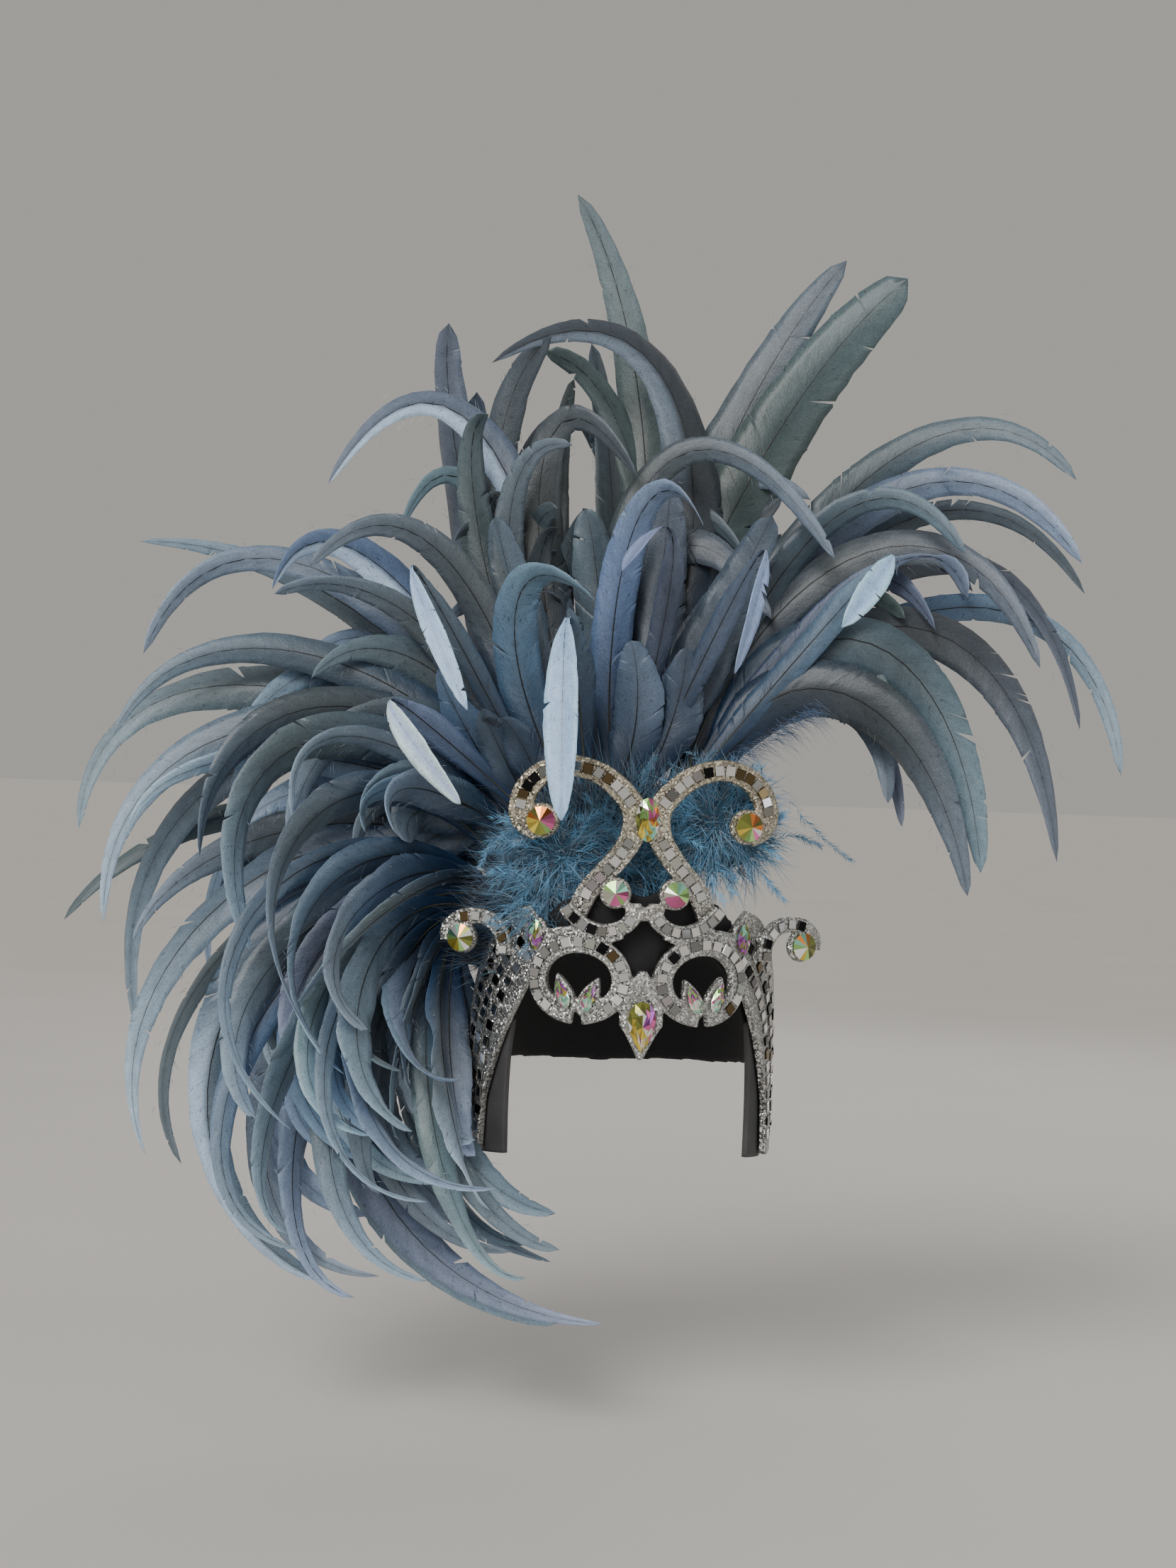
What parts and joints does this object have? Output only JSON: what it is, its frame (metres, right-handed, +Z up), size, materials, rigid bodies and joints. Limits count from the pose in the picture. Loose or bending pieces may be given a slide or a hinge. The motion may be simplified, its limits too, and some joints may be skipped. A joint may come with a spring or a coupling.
{
  "type": "showgirl feather headdress",
  "caption": "Pierced glitter crown on a foam cap, set with glass stones and rows of mirrors, with a one-sided fan of long curled feathers that falls to the neck.",
  "frame": {"origin": "inside top of the cap, where it sits on the crown of the head", "axes": "+Z up, front faces -Y, +X to the right seen from the front"},
  "size_m": [0.6313, 0.2472, 0.6846],
  "materials": {
    "silver_glitter": "silver glitter foam",
    "mirror_tile": "small square mirrors",
    "iridescent_glass": "foil-backed rainbow glass",
    "black_foam": "matt black foam",
    "grey_foam": "grey foam straps",
    "feather": "dyed dusty blue cock's tail feather",
    "down": "teal blue down"
  },
  "bodies": {
    "root": {"skull_cap": "black_foam", "feather_board": "black_foam", "horn_scrolls": "silver_glitter", "crown_plate": "silver_glitter", "crossing_stone": "iridescent_glass", "drop_stone": "iridescent_glass", "right_spray": "feather", "crest": "feather", "left_spray": "feather", "cascade": "feather", "down_fluff": "down", "side_panel_left": "silver_glitter", "ear_scroll_left": "silver_glitter", "inner_strap_left": "grey_foam", "horn_stone_left": "iridescent_glass", "mid_stone_left": "iridescent_glass", "ear_stone_left": "iridescent_glass", "temple_stone_left": "iridescent_glass", "pear_stone_inner_left": "iridescent_glass", "pear_stone_outer_left": "iridescent_glass", "horn_tiles_left": "mirror_tile", "stem_tiles_left": "mirror_tile", "mid_tiles_left": "mirror_tile", "ring_tiles_left": "mirror_tile", "ear_tiles_left": "mirror_tile", "side_panel_right": "silver_glitter", "ear_scroll_right": "silver_glitter", "inner_strap_right": "grey_foam", "horn_stone_right": "iridescent_glass", "mid_stone_right": "iridescent_glass", "ear_stone_right": "iridescent_glass", "temple_stone_right": "iridescent_glass", "pear_stone_inner_right": "iridescent_glass", "pear_stone_outer_right": "iridescent_glass", "horn_tiles_right": "mirror_tile", "stem_tiles_right": "mirror_tile", "mid_tiles_right": "mirror_tile", "ring_tiles_right": "mirror_tile", "ear_tiles_right": "mirror_tile"}
  },
  "joints": []
}
